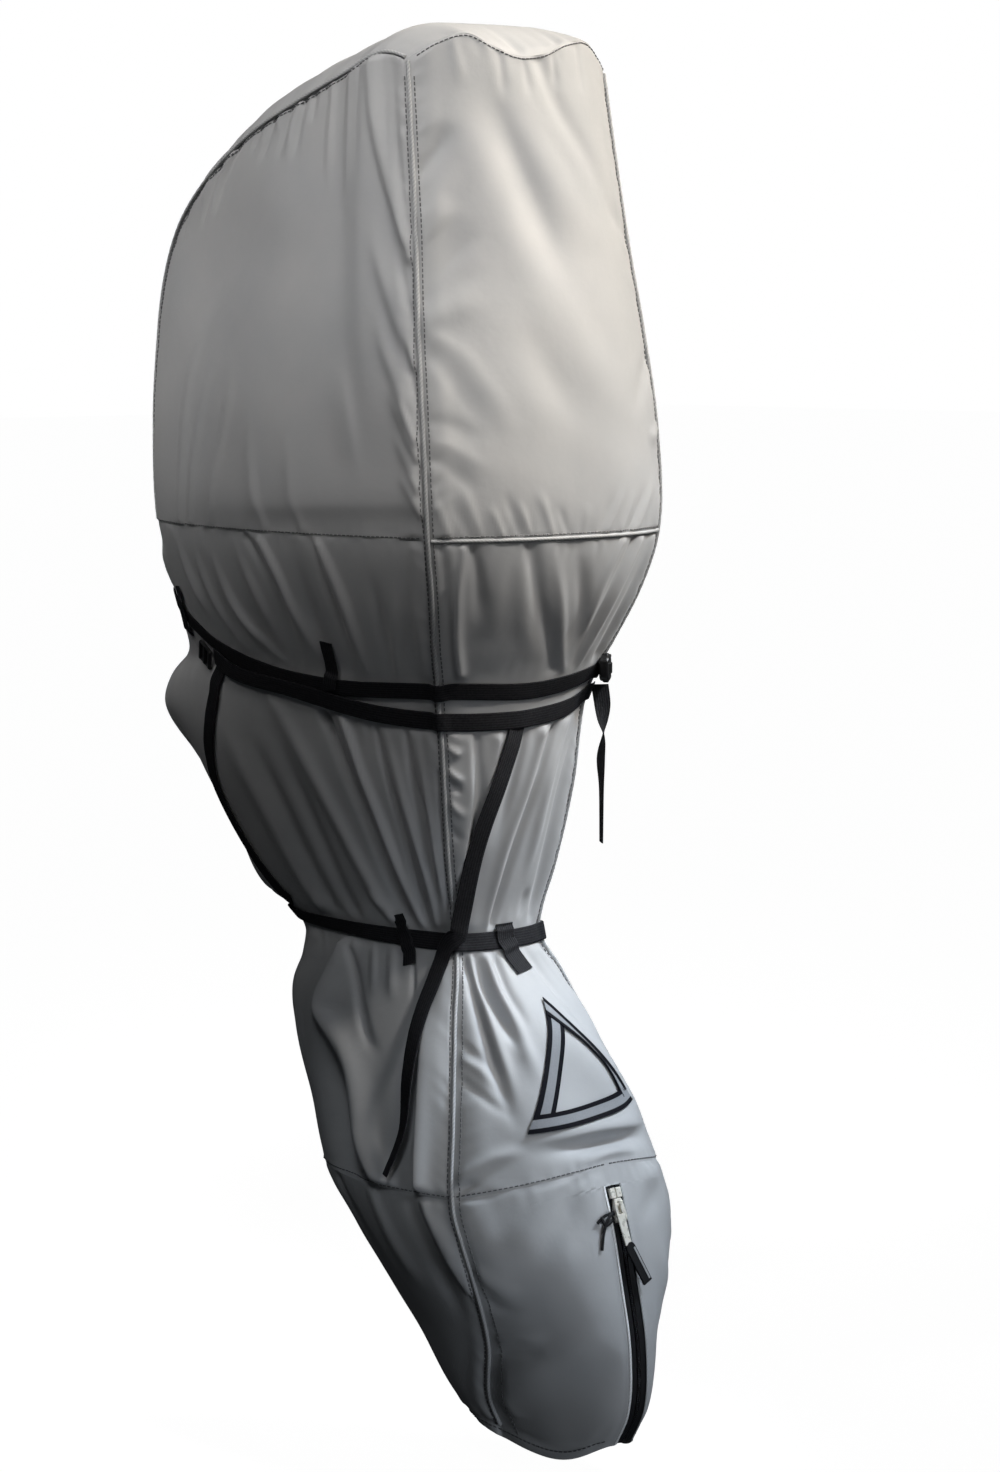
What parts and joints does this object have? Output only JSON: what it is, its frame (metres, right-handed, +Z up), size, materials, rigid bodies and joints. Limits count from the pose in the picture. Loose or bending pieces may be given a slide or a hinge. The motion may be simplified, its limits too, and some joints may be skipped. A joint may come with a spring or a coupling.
{
  "type": "outboard motor cover",
  "caption": "Full-length fitted cloth cover for a long-shaft boat motor: piped hood, gathered leg and zipped boot, drawn in by webbing belts.",
  "frame": {"origin": "just under the crown, 80 mm forward of the top of the aft panel, where the cover rests on the head of the motor", "axes": "+Z up, +Y forward towards the boat, +X to starboard; the aft panel with the triangle and the zip faces -Y"},
  "size_m": [0.4108, 0.7568, 1.5338],
  "materials": {
    "cover_cloth": "satin silver-grey coated polyester with a fine plain weave",
    "piping": "light grey cloth-covered cord",
    "webbing": "black ribbed polypropylene webbing",
    "reflective_tape": "grey reflective tape with black edge stripes",
    "zip_tape": "black woven zip tape",
    "zip_metal": "polished nickel",
    "black_plastic": "moulded black acetal"
  },
  "bodies": {
    "root": {"hood_crown": "cover_cloth", "hood_aft": "cover_cloth", "hood_port": "cover_cloth", "hood_starboard": "cover_cloth", "leg_port": "cover_cloth", "leg_aft": "cover_cloth", "leg_starboard": "cover_cloth", "boot_port": "cover_cloth", "boot_starboard": "cover_cloth", "boot_aft_port": "cover_cloth", "boot_aft_starboard": "cover_cloth", "piping_corner_port": "piping", "piping_corner_starboard": "piping", "piping_crown_port": "piping", "piping_crown_starboard": "piping", "piping_hem_aft": "piping", "belt_upper": "webbing", "belt_lower_strand": "webbing", "belt_ankle": "webbing", "slant_strap": "webbing", "front_strap": "webbing", "belt_loop_upper_port": "webbing", "belt_loop_upper_fore": "webbing", "belt_loop_ankle_port": "webbing", "belt_loop_ankle_aft": "webbing", "buckle_tail": "webbing", "triangle_tape_left": "reflective_tape", "triangle_tape_foot": "reflective_tape", "triangle_tape_right": "reflective_tape", "zip_tape_port": "zip_tape", "zip_tape_starboard": "zip_tape", "zip_teeth": "zip_tape", "zip_slider": "zip_metal", "zip_pull": "zip_metal", "zip_tag": "zip_tape", "zip_ribbon": "zip_tape", "buckle": "black_plastic", "ladder_lock": "black_plastic"}
  },
  "joints": []
}
